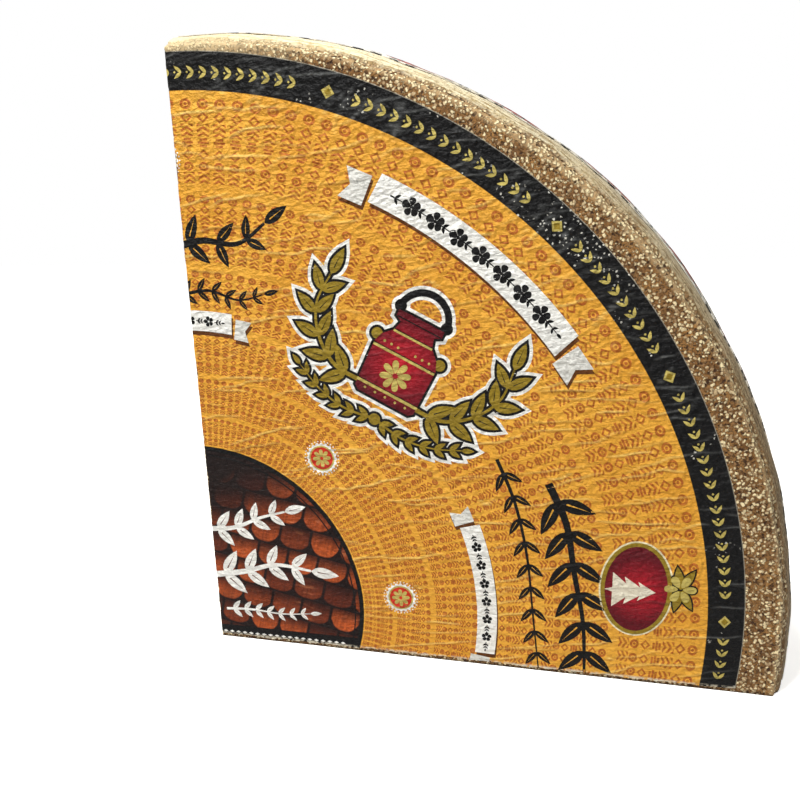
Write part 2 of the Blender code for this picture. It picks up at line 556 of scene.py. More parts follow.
class Value:
    """A number that the nodes of a finish work out. The signs of arithmetic make more nodes of it."""

    def __init__(self, finish, socket):
        self.finish = finish
        self.socket = socket

    __add__, __radd__ = sign("ADD"), sign("ADD", True)
    __sub__, __rsub__ = sign("SUBTRACT"), sign("SUBTRACT", True)
    __mul__, __rmul__ = sign("MULTIPLY"), sign("MULTIPLY", True)
    __truediv__ = sign("DIVIDE")
    __pow__ = sign("POWER")

    def __abs__(self):
        return self.finish.math("ABSOLUTE", self)


class Finish:
    """A Principled material whose colour, roughness and bump are worked out by nodes."""

    def __init__(self, name):
        self.material = bpy.data.materials.new(name)
        self.material.use_nodes = True
        self.nodes = self.material.node_tree.nodes
        self.links = self.material.node_tree.links
        self.shader = self.nodes["Principled BSDF"]
        self.place = self.nodes.new("ShaderNodeTexCoord").outputs["Object"]

    def put(self, socket, value):
        value = value.socket if isinstance(value, Value) else value
        if isinstance(value, bpy.types.NodeSocket):
            self.links.new(value, socket)
        else:
            socket.default_value = value

    def math(self, operation, *values):
        node = self.nodes.new("ShaderNodeMath")
        node.operation = operation
        for socket, value in zip(node.inputs, values):
            self.put(socket, value)
        return Value(self, node.outputs[0])

    def least(self, first, second):
        return self.math("MINIMUM", first, second)

    def most(self, first, second):
        return self.math("MAXIMUM", first, second)

    def fract(self, value):
        return self.math("FRACT", value)

    def floor(self, value):
        return self.math("FLOOR", value)

    def turn(self, up, across):
        """The angle of a place about the origin."""
        return self.math("ARCTAN2", up, across)

    def away(self, across, up):
        """The distance of a place from the origin."""
        return self.math("SQRT", across * across + up * up)

    def axes(self, vector):
        node = self.nodes.new("ShaderNodeSeparateXYZ")
        self.put(node.inputs[0], vector)
        return [Value(self, socket) for socket in node.outputs]

    def vector(self, x, y, z):
        node = self.nodes.new("ShaderNodeCombineXYZ")
        for socket, value in zip(node.inputs, (x, y, z)):
            self.put(socket, value)
        return node.outputs[0]

    def mapped(self, location=(0, 0, 0), scale=(1, 1, 1), vector=None):
        node = self.nodes.new("ShaderNodeMapping")
        self.put(node.inputs["Vector"], self.place if vector is None else vector)
        node.inputs["Location"].default_value = location
        node.inputs["Scale"].default_value = scale
        return node.outputs[0]

    def from_axis(self, behind_face=0.0):
        """(across, depth, up) from the wheel's axis, the depth from the printed face or from behind it."""
        return self.axes(self.mapped((-AXIS_X, -FACE_Y - behind_face, -AXIS_Z)))

    def from_label(self, x_mm=0.0, z_mm=0.0):
        """(across, up) from the label's middle, or from a place on the label."""
        across, _y, up = self.axes(self.mapped((-LABEL_X - x_mm / 1000, 0, -LABEL_Z - z_mm / 1000)))
        return across, up

    def noise(self, vector, scale, detail=3.0, roughness=0.55):
        node = self.nodes.new("ShaderNodeTexNoise")
        self.put(node.inputs["Vector"], vector)
        node.inputs["Scale"].default_value = scale
        node.inputs["Detail"].default_value = detail
        node.inputs["Roughness"].default_value = roughness
        return Value(self, node.outputs["Fac"])

    def cells(self, vector, scale, feature="F1", output="Distance"):
        node = self.nodes.new("ShaderNodeTexVoronoi")
        node.feature = feature
        self.put(node.inputs["Vector"], vector)
        node.inputs["Scale"].default_value = scale
        return Value(self, node.outputs[output])

    def crooked(self, scale, reach):
        """Places pushed about by a noise, so that cells lose their regular shapes."""
        noise = self.nodes.new("ShaderNodeTexNoise")
        self.put(noise.inputs["Vector"], self.place)
        noise.inputs["Scale"].default_value = scale
        node = self.nodes.new("ShaderNodeVectorMath")
        node.operation = "MULTIPLY_ADD"
        self.put(node.inputs[0], noise.outputs["Color"])
        node.inputs[1].default_value = (reach, reach, reach)
        self.put(node.inputs[2], self.place)
        return node.outputs[0]

    def attribute(self, name):
        node = self.nodes.new("ShaderNodeAttribute")
        node.attribute_name = name
        return Value(self, node.outputs["Fac"])

    def between(self, value, low, high, to_low=0.0, to_high=1.0):
        node = self.nodes.new("ShaderNodeMapRange")
        for socket, given in zip(node.inputs, (value, low, high, to_low, to_high)):
            self.put(socket, given)
        return Value(self, node.outputs[0])

    def blend(self, factor, first, second):
        node = self.nodes.new("ShaderNodeMix")
        node.data_type = "RGBA"
        self.put(node.inputs["Factor"], factor)
        for name, value in (("A", first), ("B", second)):
            socket = [s for s in node.inputs if s.name == name and s.type == "RGBA"][0]
            self.put(socket, value if isinstance(value, bpy.types.NodeSocket) else (*value, 1.0))
        return [s for s in node.outputs if s.type == "RGBA"][0]

    def bump(self, height, distance, strength=1.0):
        node = self.nodes.new("ShaderNodeBump")
        node.inputs["Distance"].default_value = distance
        node.inputs["Strength"].default_value = strength
        self.put(node.inputs["Height"], height)
        return node.outputs[0]

    def done(self, colour, roughness, normal=None, specular=0.5):
        self.put(self.shader.inputs["Base Color"], colour)
        self.put(self.shader.inputs["Roughness"], roughness)
        self.put(self.shader.inputs["Specular IOR Level"], specular)
        if normal is not None:
            self.put(self.shader.inputs["Normal"], normal)
        return self.material


def srgb(*channels):
    """A colour as a photograph gives it, 0 to 255, made linear."""
    return tuple(((c / 255 + 0.055) / 1.055) ** 2.4 if c > 10 else c / 255 / 12.92 for c in channels)


def brush_lines(f, arc, depth):
    """Fine lines that the brush leaves round the heel."""
    broad = f.noise(f.vector(arc * 52.0, depth * 640.0, 0.0), 1.0, 3, 0.65)
    hatch = f.noise(f.vector(arc * 260.0 + depth * 160.0, depth * 1150.0, 4.0), 1.0, 2)
    return broad * 0.55 + hatch * 0.45


def heel_colour(f, lines, angle, depth, slow):
    """The brushed heel, with painted light from above: cream on top and darker brown at the side."""
    # Painted light: each colour of the heel goes from darker brown at the side to cream on top, as if lit
    # from above; next to the paper band the colours are paler.
    high = f.between(angle, 0.35, 1.35)
    dark_line = f.blend(high, srgb(92, 72, 48), srgb(172, 146, 94))
    pale_line = f.blend(high, srgb(164, 138, 100), srgb(255, 250, 218))
    patch = f.blend(high, srgb(138, 112, 78), srgb(248, 230, 182))
    by_paper = f.blend(high, srgb(184, 168, 140), srgb(255, 248, 220))
    heel = f.blend(f.between(lines, 0.43, 0.57), dark_line, pale_line)
    heel = f.blend(f.between(slow, 0.45, 0.75, 0.0, 0.6), heel, patch)
    return f.blend(f.between(depth, 0.0085, 0.0135, 0.0, 0.5), heel, by_paper)


def rind_finish():
    """Brown smear pebbled with paler grains on the faces and the edge, and pale brush lines on the heel."""
    f = Finish("grainy brown rind")
    across, depth, up = f.from_axis()
    radius, angle = f.away(across, up), f.turn(up, across)
    depth = f.least(depth, THICKNESS - depth)
    slow, fine = f.noise(f.place, 60, 4), f.noise(f.place, 1500, 3)
    lines = brush_lines(f, angle * EDGE_RADIUS, depth)
    on_heel = f.between(depth + slow * 0.004, 0.0046, 0.007)
    bead = f.between(radius, EDGE_RADIUS - 0.003, EDGE_RADIUS - 0.001)
    bead = bead * f.between(depth, 0.0014, 0.003, 1.0, 0.0)

    colour = f.blend(f.between(slow, 0.36, 0.64), srgb(114, 75, 34), srgb(166, 120, 64))
    colour = f.blend(f.between(fine, 0.38, 0.54), srgb(48, 29, 16), colour)
    colour = f.blend(on_heel, colour, heel_colour(f, lines, angle, depth, slow))
    # Painted shade: a dark broken line in the shallow groove behind the edge.
    groove = abs(depth + (slow - 0.5) * 0.0012 - (GROOVE_AT - 0.0006))
    broken = f.between(f.noise(f.place, 45, 3), 0.44, 0.52)
    colour = f.blend(f.between(groove, 0.00025, 0.0007, 0.95, 0.0) * broken, colour, srgb(44, 31, 20))
    colour = f.blend(f.attribute("crumb") * 0.35, colour, srgb(186, 146, 96))
    colour = f.blend(bead * 0.45, colour, srgb(220, 190, 142))

    crooked = f.crooked(640, 0.0019)
    which = f.cells(crooked, 600, "F1", "Color")
    patches = (f.noise(f.place, 38, 4) - 0.5) * 0.3 + bead * 0.18
    grains = f.blend(f.between(which + patches, 0.32, 0.6), srgb(142, 96, 48), srgb(255, 236, 188))
    grain = f.between(f.cells(crooked, 600), 0.36, 0.55, 1.0, 0.0) * f.between(on_heel, 0.0, 1.0, 1.0, 0.22)
    pit = grain * f.between(which, 0.26, 0.32, 1.0, 0.0) * f.between(on_heel, 0.0, 1.0, 1.0, 0.3)
    grain = grain * f.between(which, 0.26, 0.36)
    colour = f.blend(grain, colour, grains)
    colour = f.blend(pit * 0.85, colour, srgb(56, 32, 18))
    # Painted highlight: the rim is paler near the top, where the light from above falls.
    top = f.between(angle, 1.33, 1.52, 0.0, 0.6) * f.between(radius, 0.297, 0.303)
    colour = f.blend(top, colour, srgb(232, 210, 164))
    # Painted shadow: the rind darkens just above the base, where the quarter stands on the floor.
    low = f.between(f.axes(f.place)[2], 0.0003, 0.0015, 0.85, 0.0)
    colour = f.blend(low, colour, srgb(46, 33, 24))
    height = (grain - pit) * 0.7 + fine * 0.3 + lines * on_heel * 0.6
    return f.done(colour, f.between(grain, 0.0, 1.0, 0.75, 0.42), f.bump(height, 0.0015), 0.3)


def paste_finish():
    """Ivory paste that darkens towards the rind, with faint lines of the knife."""
    f = Finish("ivory paste")
    across, depth, up = f.from_axis()
    side = abs(depth / (THICKNESS / 2) - 1.0)
    heel = EDGE_RADIUS + BULGE - side ** float(BULGE_POWER) * BULGE
    inside = f.least(heel - f.away(across, up), f.least(depth, THICKNESS - depth))
    inside = inside + (f.noise(f.place, 90, 4) - 0.5) * 0.003
    slow = f.noise(f.place, 16, 3)
    colour = f.blend(f.between(slow, 0.35, 0.65), srgb(228, 202, 140), srgb(240, 219, 164))
    colour = f.blend(f.between(f.noise(f.place, 500, 2), 0.4, 0.75), colour, srgb(244, 228, 182))
    colour = f.blend(f.between(inside, 0.003, 0.013), srgb(196, 158, 96), colour)
    colour = f.blend(f.between(inside, 0.0008, 0.0032), srgb(116, 80, 46), colour)
    normal = f.bump(f.noise(f.mapped(scale=(1, 6, 1)), 160, 4), 0.0006, 0.25)
    return f.done(colour, f.between(slow, 0.3, 0.7, 0.42, 0.55), normal)


# The wrinkled paper on the face

SHEET_CELLS = (132, 760)
SHEET_SPARE = 0.004
TEAR_DEPTH = 0.0011
CREASE_ROWS = 46
RIM_FOLDS = 42


def draw_creases():
    """Creases of the paper in mm, each (middle, slope, half length, height, paleness of its painted
    highlight, wobble, phase).
    """
    draw = np.random.default_rng(11)
    creases = []
    for row in range(CREASE_ROWS):
        across = draw.uniform(-12, 20)
        while across < 300:
            up = -26 + 332 * (row + draw.uniform(-0.9, 0.9)) / CREASE_ROWS
            half = draw.uniform(5, 34) * draw.uniform(0.5, 1.0)
            far = across / 300
            slope = math.radians(draw.normal(7 + 3 * far, 8 - 3 * far))
            height = draw.uniform(0.22, 0.50) * draw.uniform(0.6, 1.0)
            pale = 0.2 + 0.8 * draw.uniform(0.0, 1.0) ** 1.2
            wobble, phase = draw.uniform(0.3, 1.9), draw.uniform(0, 6.3)
            creases.append(((across + half, up), slope, half, height, pale, wobble, phase))
            across += 2 * half + draw.uniform(-4, 26)
    for _fold in range(RIM_FOLDS):
        angle = math.radians(draw.uniform(24, 84))
        half = draw.uniform(4, 13)
        radius = 297 - half * draw.uniform(0.8, 1.5)
        slope = angle + math.radians(draw.normal(0, 16))
        height, pale = draw.uniform(0.2, 0.42), draw.uniform(0.3, 1.0)
        wobble, phase = draw.uniform(0.2, 0.9), draw.uniform(0, 6.3)
        middle = (radius * math.cos(angle), radius * math.sin(angle))
        creases.append((middle, slope, half, height, pale, wobble, phase))
    return creases


def paper_relief(points):
    """(height in mm, painted highlight along the crests from 0 to 1, painted shade under the folds from 0 to
    1) of the wrinkled paper.
    """
    across, up = (points[:, 0] - LABEL_X) * 1000, (points[:, 2] - LABEL_Z) * 1000
    height, crest_highlight, under = np.zeros(len(across)), np.zeros(len(across)), np.zeros(len(across))
    for middle, slope, half, tall, pale, wobble, phase in draw_creases():
        rise = half * abs(math.sin(slope)) + 6
        near = np.flatnonzero((abs(across - middle[0]) < half + 2) & (abs(up - middle[1]) < rise))
        if not near.size:
            continue
        dx, dz = across[near] - middle[0], up[near] - middle[1]
        along = dx * math.cos(slope) + dz * math.sin(slope)
        off = dz * math.cos(slope) - dx * math.sin(slope)
        off = off - wobble * np.sin(along / (half * 0.42) + phase)
        off = off - 0.25 * wobble * np.sin(along / 2.3 + 2 * phase)
        fade = np.clip(1 - (along / half) ** 2, 0, 1) ** 0.7
        ridge = np.where(off > 0, np.exp(-(off / 1.15) ** 2), np.exp(-(off / 0.55) ** 2)) * fade
        # Painted shade under each fold, and a painted highlight along its ridge.
        shade = (0.3 + 0.7 * pale) * np.exp(-((off + 0.95) / 0.55) ** 2) * fade
        height[near] = np.maximum(height[near], tall * ridge)
        crest_highlight[near] = np.maximum(crest_highlight[near], pale * np.exp(-(off / 0.50) ** 2) * fade)
        under[near] = np.maximum(under[near], shade)
    pebbles = value_noise(across / 5.2, up / 1.9, 21) * 0.5 + value_noise(across / 6.5, up / 3.6, 22) * 0.5
    ripples = value_noise(across / 21, (up - 0.13 * across) / 4.3, 24)
    height += 0.18 * pebbles + 0.17 * ripples + 0.04 * value_noise(across / 34, up / 19, 23)
    height *= np.clip((LABEL_RADIUS * 1000 - np.hypot(across, up)) / 2.5, 0.12, 1.0)
    return height, crest_highlight, under


def keep_folds(thing):
    """Keeps the painted highlight on the crests and the painted shade under the folds for the colour."""
    _height, crest_highlight, under = paper_relief(points_of(thing))
    set_attribute(thing, "crest_highlight", crest_highlight)
    set_attribute(thing, "under", under)


def tear_edges(sheet):
    """The lower edge is torn, and the one at the upright cut less so."""
    points = points_of(sheet)
    flat = np.zeros(len(points))
    up = points[:, 2] - LABEL_LOW.z
    ragged = value_noise(points[:, 0] / 0.0021, flat, 41) * 0.6
    ragged += value_noise(points[:, 0] / 0.011, flat, 42) * 0.6
    points[:, 2] += TEAR_DEPTH * ragged * np.clip(1 - up / 0.005, 0, 1)
    right = points[:, 0] - LABEL_LOW.x
    torn_here = np.where(value_noise(points[:, 2] / 0.03, flat, 44) > 0.55, 1, 0.2)
    ragged = value_noise(points[:, 2] / 0.004, flat, 43) * torn_here
    points[:, 0] += 0.0009 * ragged * np.clip(1 - right / 0.006, 0, 1)
    set_points(sheet, points)


def close_behind(sheet):
    """Gives the grid its thickness and a back."""
    open_mesh(sheet)
    bpy.ops.mesh.select_mode(type="EDGE")
    bpy.ops.mesh.select_all(action="DESELECT")
    bpy.ops.mesh.select_non_manifold()
    bpy.ops.mesh.extrude_region_move(TRANSFORM_OT_translate={"value": (0, PAPER_BASE, 0)})
    bpy.ops.mesh.edge_face_add()
    bpy.ops.mesh.select_mode(type="VERT")
    face_outwards()


def make_sheet():
    """The label's paper: a fine grid, closed behind, cut round, with its torn edges and its creases."""
    grid = bpy.ops.mesh.primitive_grid_add
    sheet = add(grid, x_subdivisions=SHEET_CELLS[0], y_subdivisions=SHEET_CELLS[1], size=1.0)
    sheet.name = "face_paper"
    upright = Matrix.Rotation(math.radians(90), 4, "X")
    size = LABEL_HIGH - LABEL_LOW
    middle = (LABEL_HIGH + LABEL_LOW) / 2
    front = LABEL_BACK - PAPER_BASE
    stand = upright @ Matrix.Diagonal((size.x + SHEET_SPARE, size.z + SHEET_SPARE, 1.0, 1.0))
    place = Matrix.Translation((middle.x + SHEET_SPARE / 2, front, middle.z + SHEET_SPARE / 2))
    sheet.data.transform(place @ stand)
    tear_edges(sheet)
    close_behind(sheet)
    disc = add(bpy.ops.mesh.primitive_cylinder_add, vertices=900, radius=LABEL_RADIUS, depth=0.02)
    disc.data.transform(Matrix.Translation((LABEL_X, FACE_Y, LABEL_Z)) @ upright)
    apply_boolean(sheet, "INTERSECT", disc)
    points = points_of(sheet)
    rows = np.flatnonzero(points[:, 1] < front + PAPER_BASE / 2)
    height, _crest, _under = paper_relief(points[rows])
    points[rows, 1] = np.maximum(front - height / 1000, LABEL_LOW.y + 4 * INK_STEP)
    set_points(sheet, points)
    smooth(sheet, 75)
    return sheet


# Stamps, which cut what is printed out of copies of the sheet

def on_face(outline):
    """An outline in mm from the label's middle, placed on the face."""
    return [Vector((LABEL_X + x / 1000, LABEL_Z + z / 1000)) for x, z in outline]


def turns_left(outline):
    return sum(a[0] * b[1] - b[0] * a[1] for a, b in zip(outline, outline[1:] + outline[:1])) > 0


def make_cutter(name, outlines):
    """Upright walls through the sheet along outlines, which may overlap."""
    flat, faces = [], []
    for outline in outlines:
        faces.append(list(range(len(flat), len(flat) + len(outline))))
        flat += on_face(outline if turns_left(outline) else outline[::-1])
    corners, _edges, faces, _v, _e, origins = geometry.delaunay_2d_cdt(flat, [], faces, 1, 0.0000005)
    faces = [face for face, origin in zip(faces, origins) if origin]
    mesh = bpy.data.meshes.new(name)
    mesh.from_pydata([(c.x, FACE_Y - CUTTER_HALF, c.y) for c in corners], [], faces)
    cutter = bpy.data.objects.new(name + "_cutter", mesh)
    bpy.context.scene.collection.objects.link(cutter)
    open_mesh(cutter)
    bpy.ops.mesh.extrude_region_move(TRANSFORM_OT_translate={"value": (0, 2 * CUTTER_HALF, 0)})
    face_outwards()
    return cutter


def stamp(name, sheet, outlines, layer, finish):
    """Cuts shapes out of a copy of the wrinkled paper, so that they follow it, and lays them on it."""
    cutter = make_cutter(name, outlines)
    piece = sheet.copy()
    piece.data = sheet.data.copy()
    piece.name = name
    bpy.context.scene.collection.objects.link(piece)
    apply_boolean(piece, "INTERSECT", cutter)
    piece.data.transform(Matrix.Translation((0, -INK_STEP * layer, 0)))
    smooth(piece, 75)
    dress(piece, finish)
    keep_folds(piece)
    finish_piece(piece)


# Outlines in mm, of which everything printed is made

def rounded(angle_deg, radius):
    return radius * math.cos(math.radians(angle_deg)), radius * math.sin(math.radians(angle_deg))


def oval_outline(halves, middle, sides):
    turns = [math.tau * i / sides for i in range(sides)]
    return [(middle[0] + halves[0] * math.cos(t), middle[1] + halves[1] * math.sin(t)) for t in turns]


def disc_outline(radius, middle, sides):
    return oval_outline((radius, radius), middle, sides)


def arc_bar(middle, inner, outer, start_deg, end_deg, lean=0.0, steps=24):
    """A bent bar about a point. Lean moves its outer corners along, in degrees."""
    def line(start, end, radius):
        turns = [math.radians(start + (end - start) * i / steps) for i in range(steps + 1)]
        return [(middle[0] + radius * math.cos(t), middle[1] + radius * math.sin(t)) for t in turns]

    return line(start_deg - lean, end_deg + lean, outer) + line(end_deg, start_deg, inner)


def leaf_outline(length, width, steps=7):
    """A pointed leaf from its foot at 0, 0 along +x."""
    side = []
    for i in range(1, steps):
        side.append((length * i / steps, width / 2 * math.sin(math.pi * (i / steps) ** 0.8) ** 0.9))
    return [(0, 0)] + side + [(length, 0)] + [(x, -y) for x, y in reversed(side)]


def lozenge_outline(long, wide):
    return [(-long, 0), (0, wide), (long, 0), (0, -wide)]


def bar_outline(half, top, low):
    return [(-half, top), (half, top), (half, low), (-half, low)]


def placed(outline, middle, turn_deg=0.0):
    c, s = math.cos(math.radians(turn_deg)), math.sin(math.radians(turn_deg))
    return [(middle[0] + x * c - y * s, middle[1] + x * s + y * c) for x, y in outline]


def flower_outlines(petals, radius, middle, turn_deg, slim):
    """A flower of round-ended petals about a small open eye."""
    turns = [math.tau * i / 16 for i in range(16)]
    petal = [(radius * (0.58 + 0.42 * math.cos(t)), radius * slim * math.sin(t) * (1.0 + 0.35 * math.cos(t)))
             for t in turns]
    return [placed(petal, middle, turn_deg + 360 * i / petals) for i in range(petals)]


def along_path(path, share):
    """(place, direction in degrees) at a share of a path's length."""
    spans = [math.dist(a, b) for a, b in zip(path, path[1:])]
    left = share * sum(spans)
    for (a, b), span in zip(zip(path, path[1:]), spans):
        if left <= span or b is path[-1]:
            t = min(1.0, left / span)
            place = (a[0] + (b[0] - a[0]) * t, a[1] + (b[1] - a[1]) * t)
            return place, math.degrees(math.atan2(b[1] - a[1], b[0] - a[0]))
        left -= span


def curved(points, steps=24):
    """A smooth line through given points."""
    def at(t, a, b, c, d):
        return 0.5 * (2 * b + (c - a) * t + (2 * a - 5 * b + 4 * c - d) * t * t
                      + (3 * b - a - 3 * c + d) * t ** 3)

    line = []
    padded = [points[0]] + list(points) + [points[-1]]
    for stretch in zip(padded, padded[1:], padded[2:], padded[3:]):
        line += [tuple(at(i / steps, *four) for four in zip(*stretch)) for i in range(steps)]
    return line + [tuple(points[-1])]


def stem_outline(path, width, tip=0.35, steps=24):
    """A stem that narrows along a path."""
    left, right = [], []
    for i in range(steps + 1):
        (x, z), turn = along_path(path, i / steps)
        half = width / 2 * (1 - (1 - tip) * i / steps)
        across, up = -math.sin(math.radians(turn)) * half, math.cos(math.radians(turn)) * half
        left.append((x + across, z + up))
        right.append((x - across, z - up))
    return left + right[::-1]


def leaves_along(path, leaf, count, spread, shrink):
    """(foot, direction, length) of the leaves in pairs along a path, and of the leaf at its tip."""
    places = []
    for i in range(count):
        share = (i + 0.6) / (count + 0.4)
        middle, turn = along_path(path, share)
        places += [(middle, turn + side * spread, leaf * (1 - shrink * share)) for side in (1, -1)]
    middle, turn = along_path(path, 1.0)
    return places + [(middle, turn, leaf * 0.9)]


def sprig(points, width, leaf, slim, count, spread, shrink=0.35):
    """(outlines, ribs) of a stem with pairs of leaves and one leaf at its tip."""
    path = curved(points)
    outlines, ribs = [stem_outline(path, width)], []
    for foot, turn, length in leaves_along(path, leaf, count, spread, shrink):
        outlines.append(placed(leaf_outline(length, length * slim), foot, turn))
        rib = max(0.05, (length - 5.5) * 0.030)
        ribs.append(placed([(length * 0.24, -rib), (length * 0.84, 0), (length * 0.24, rib)], foot, turn))
    return outlines, ribs


def sprigs(rows):
    """All outlines and all ribs of several sprigs."""
    pairs = [sprig(*row) for row in rows]
    return [o for outlines, _ribs in pairs for o in outlines], [r for _outlines, ribs in pairs for r in ribs]


def grown(outline, distance):
    """An outline moved outwards all round."""
    way = 1 if turns_left(outline) else -1
    moved = []
    for before, here, after in zip(outline[-1:] + outline[:-1], outline, outline[1:] + outline[:1]):
        normals = []
        for a, b in ((before, here), (here, after)):
            span = math.dist(a, b) or 1.0
            normals.append(((b[1] - a[1]) / span * way, -(b[0] - a[0]) / span * way))
        nx, ny = normals[0][0] + normals[1][0], normals[0][1] + normals[1][1]
        size = math.hypot(nx, ny) or 1.0
        reach = distance * min(1.8, 2 / size if size > 0.1 else 1.8)
        moved.append((here[0] + nx / size * reach, here[1] + ny / size * reach))
    return moved


# Finishes of the papers

YELLOW = srgb(231, 170, 62)
BLACK = srgb(15, 15, 16)
DARK_RED = srgb(134, 30, 34)
PAPER_SPECULAR = 0.14
PAPER_ROUGHNESS = 0.48
SPOKES = 183
MARK_KINDS = ("ring", "lozenge", "chevrons", "bars", "lozenge", "ring", "chevrons", None)
MARK_LENGTH = 0.66
RING_INNER = 0.282
DISC_RADIUS = 0.0953
SCRAPED_AT = 0.78
SHINGLE_ROW = 0.0150
SHINGLE_WIDTH = 0.0190


def paper_normal(f):
    """Pebbles of the cheese under the paper, and its finest folds."""
    across, depth, up = f.axes(f.place)
    leaning = f.vector(across, depth, up - across * 0.13)
    fold = abs(f.noise(f.mapped(scale=(34, 34, 170), vector=leaning), 1.0, 2.0) - 0.5)
    fold = f.between(fold, 0.0, 0.045, 1.0, 0.0)
    pebbles = f.noise(f.mapped(scale=(1.0, 1.0, 1.35)), 430, 3, 0.6)
    cells = f.cells(f.mapped(scale=(1.0, 1.0, 1.2)), 330, "SMOOTH_F1")
    return f.bump(pebbles * 0.75 - cells * 0.55 + fold * 0.1, 0.0031)


def ink(name, colour, glow=None):
    """One printed colour, with a painted highlight on the creases and painted shade under the folds. A glow
    is (middle in mm, reach in mm, colour).
    """
    f = Finish(name)
    slow = f.noise(f.place, 140, 4)
    shade = f.blend(f.between(slow, 0.3, 0.7), tuple(c * 0.86 for c in colour), colour)
    if glow:
        middle, reach, bright = glow
        away = f.away(*f.from_label(*middle))
        shade = f.blend(f.between(away, 0.0, reach / 1000, 1.0, 0.0), shade, bright)
    # Painted highlight: a lighter copy of the colour on the creases.
    wear_and_highlight = tuple(min(1.0, c * 1.25 + 0.05) for c in colour)
    shade = f.blend(f.attribute("crest_highlight") * 0.5, shade, wear_and_highlight)
    # Painted shade: a darker copy of the colour under the folds.
    shade = f.blend(f.attribute("under") * 0.3, shade, tuple(c * 0.35 for c in colour))
    return f.done(shade, PAPER_ROUGHNESS, paper_normal(f), PAPER_SPECULAR)


def mark_shape(f, kind, p, q, bold=0.0):
    """One of the small printed marks, 1 inside its lines; p and q run from -1 to 1. Bold widens the lines."""
    wide, tall = abs(p), abs(q)
    if kind == "dash":
        line = wide ** 3.0 + tall ** 3.0 - 0.5
    elif kind == "ring":
        distance = f.away(p, q)
        line = f.least(abs(distance - 0.7), distance - 0.04)
    elif kind == "lozenge":
        line = abs(wide + tall - 0.8)
    elif kind == "chevrons":
        saw = f.fract((p - tall * 0.7) * 0.95)
        line = f.most(abs(saw - 0.5), tall - 0.85)
    else:
        line = f.least(f.most(wide, tall - 0.75), f.most(abs(wide - 0.62), tall - 0.42))
    return f.between(line - bold, 0.12, 0.26, 1.0, 0.0)


def field_of_marks(f, radius, angle):
    """Rows of small marks along the radii, growing with the radius."""
    pitch = math.tau / SPOKES
    row = angle / pitch
    column = f.math("LOGARITHM", radius / (RING_INNER - 0.003), math.e) / (-pitch * MARK_LENGTH)
    q = (f.fract(row + 10.0) - 0.5) * 2.9
    p = (f.fract(column) - 0.5) * 2.35
    place = f.math("FLOORED_MODULO", f.floor(column), float(len(MARK_KINDS)))
    bold = f.between(radius, DISC_RADIUS, 0.25, 0.16, 0.055)
    total = 0.0
    for kind in ("ring", "lozenge", "chevrons", "bars"):
        chosen = 0.0
        for number, name in enumerate(MARK_KINDS):
            if name == kind:
                chosen = chosen + f.math("COMPARE", place, float(number), 0.25)
        total = total + mark_shape(f, kind, p, q, bold) * chosen
    return f.least(total, 1.0)


def shingles(f, across, up):
    """Printed rows of wooden shingles with rounded ends, each in a shade of its own over a dark gap."""
    lying = up + across * 0.2
    leaning = across - up * 0.25
    rows = lying / SHINGLE_ROW
    row = f.floor(rows)
    columns = leaning / SHINGLE_WIDTH + row * 0.381
    p = (f.fract(columns + 40.0) - 0.5) * 2.0
    q = f.fract(rows + 40.0)
    random = f.nodes.new("ShaderNodeTexWhiteNoise")
    f.put(random.inputs["Vector"], f.vector(row, f.floor(columns), 0.0))
    own = random.outputs["Value"]
    end = abs(p) ** 3.0 * f.between(own, 0.0, 1.0, 0.25, 0.6)
    inside = f.between(q - end, 0.05, 0.12) * f.between(abs(p), 0.86, 0.95, 1.0, 0.0)
    wood = f.noise(f.vector(leaning * 620.0, lying * 60.0, own), 1.0, 3)
    face = f.blend(own, srgb(84, 32, 20), srgb(204, 94, 42))
    face = f.blend(f.between(wood, 0.3, 0.7), f.blend(0.5, face, srgb(60, 24, 17)), face)
    sheen = f.between(f.noise(f.vector(leaning * 60.0, lying * 220.0, 3.0), 1.0, 2), 0.62, 0.8)
    face = f.blend(sheen * 0.6, face, srgb(228, 140, 92))
    face = f.blend(f.between(q, 0.38, 0.95, 0.0, 0.9), face, srgb(38, 18, 15))
    return f.blend(inside, srgb(28, 15, 14), face)


def field_colour(f, radius, angle, slow, crest_highlight):
    """The yellow field with its small marks, with a painted highlight on the creases and painted shade under
    them.
    """
    field = f.blend(f.between(slow, 0.3, 0.7), srgb(220, 155, 50), YELLOW)
    wear_and_highlight = f.between(f.noise(f.place, 700, 3), 0.25, 0.6, 0.5, 1.0)
    marks = field_of_marks(f, radius, angle) * wear_and_highlight
    marks = marks * f.between(radius, RING_INNER - 0.0032, RING_INNER - 0.0028, 1.0, 0.0)
    field = f.blend(marks * 0.95, field, srgb(166, 82, 32))
    # Painted shade under the folds, then a painted highlight on the creases.
    field = f.blend(f.attribute("under") * 0.55, field, srgb(140, 76, 26))
    return f.blend(crest_highlight * 0.85, field, srgb(255, 220, 124))


def ring_colour(f, angle, crest_highlight):
    """The black ring, with pale specks where its print is scraped, and a painted highlight on its creases."""
    specks = f.cells(f.crooked(1300, 0.0016), 430) - f.noise(f.place, 500, 2) * 0.24
    scraped = f.between(abs(angle - SCRAPED_AT), 0.07, 0.24, 1.0, 0.0)
    some = f.between(f.noise(f.place, 55, 2) + scraped * 0.22, 0.62, 0.66)
    specks = f.between(specks, 0.07, 0.11, 1.0, 0.0) * some
    # Painted highlight: grey on the creases of the black ring.
    ring = f.blend(crest_highlight * 0.36, BLACK, srgb(150, 152, 150))
    return f.blend(specks * 0.85, ring, srgb(226, 224, 214))


